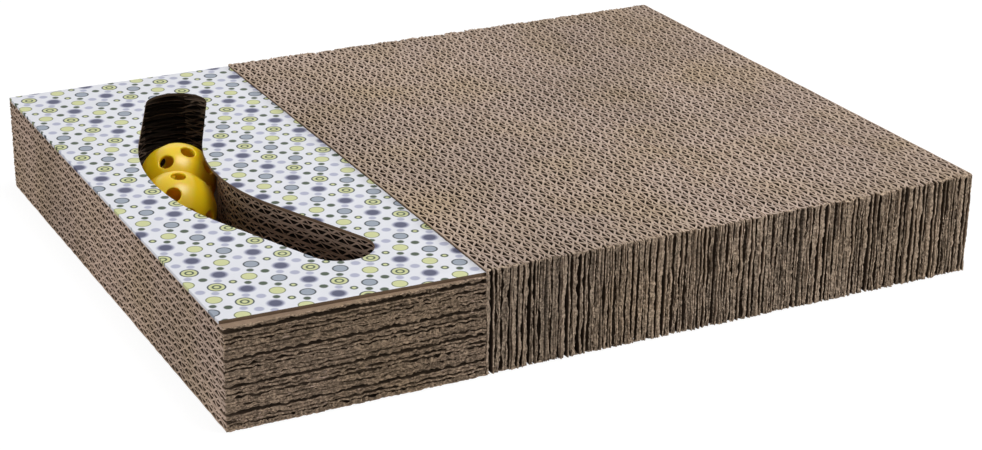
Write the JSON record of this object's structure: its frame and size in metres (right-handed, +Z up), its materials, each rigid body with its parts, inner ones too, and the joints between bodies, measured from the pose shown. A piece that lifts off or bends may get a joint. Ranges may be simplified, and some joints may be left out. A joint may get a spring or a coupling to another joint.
{
  "type": "cat scratcher",
  "caption": "Rectangular cat scratching pad of corrugated board on edge, with a flat-laid board block beside it that holds perforated balls in a curved track under a slotted printed cover.",
  "frame": {"origin": "middle of the underside, on the surface that the scratcher rests on", "axes": "+X from the ball track to the far end of the pad, along the longest side; +Y from the front to the back; +Z up"},
  "size_m": [0.38, 0.305, 0.05],
  "materials": {
    "pad_board": "matte",
    "track_board": "matte",
    "printed_paper": "satin",
    "ball_plastic": "gloss"
  },
  "bodies": {
    "base": {"floor_board": "track_board", "channel_board_1": "track_board", "channel_board_2": "track_board", "channel_board_3": "track_board", "channel_board_4": "track_board", "channel_board_5": "track_board", "channel_board_6": "track_board", "top_board": "track_board", "printed_cover": "printed_paper", "scratch_strip_01": "pad_board", "scratch_strip_02": "pad_board", "scratch_strip_03": "pad_board", "scratch_strip_04": "pad_board", "scratch_strip_05": "pad_board", "scratch_strip_06": "pad_board", "scratch_strip_07": "pad_board", "scratch_strip_08": "pad_board", "scratch_strip_09": "pad_board", "scratch_strip_10": "pad_board", "scratch_strip_11": "pad_board", "scratch_strip_12": "pad_board", "scratch_strip_13": "pad_board", "scratch_strip_14": "pad_board", "scratch_strip_15": "pad_board", "scratch_strip_16": "pad_board", "scratch_strip_17": "pad_board", "scratch_strip_18": "pad_board", "scratch_strip_19": "pad_board", "scratch_strip_20": "pad_board", "scratch_strip_21": "pad_board", "scratch_strip_22": "pad_board", "scratch_strip_23": "pad_board", "scratch_strip_24": "pad_board", "scratch_strip_25": "pad_board", "scratch_strip_26": "pad_board", "scratch_strip_27": "pad_board", "scratch_strip_28": "pad_board", "scratch_strip_29": "pad_board", "scratch_strip_30": "pad_board", "scratch_strip_31": "pad_board", "scratch_strip_32": "pad_board", "scratch_strip_33": "pad_board", "scratch_strip_34": "pad_board", "scratch_strip_35": "pad_board", "scratch_strip_36": "pad_board", "scratch_strip_37": "pad_board", "scratch_strip_38": "pad_board", "scratch_strip_39": "pad_board", "scratch_strip_40": "pad_board", "scratch_strip_41": "pad_board", "scratch_strip_42": "pad_board"},
    "back_ball": {"back_ball": "ball_plastic"},
    "front_ball": {"front_ball": "ball_plastic"}
  },
  "joints": [
    {"name": "back_ball_travel", "type": "slide", "parent": "base", "child": "back_ball", "axis": [0.3843, 0.9232, 0], "range_m": [0, 0.052]},
    {"name": "front_ball_travel", "type": "hinge", "parent": "base", "child": "front_ball", "pos_m": [0.0575, 0.0121, 0.0255], "axis": [0, 0, 1], "range_deg": [0, 36.2]}
  ]
}
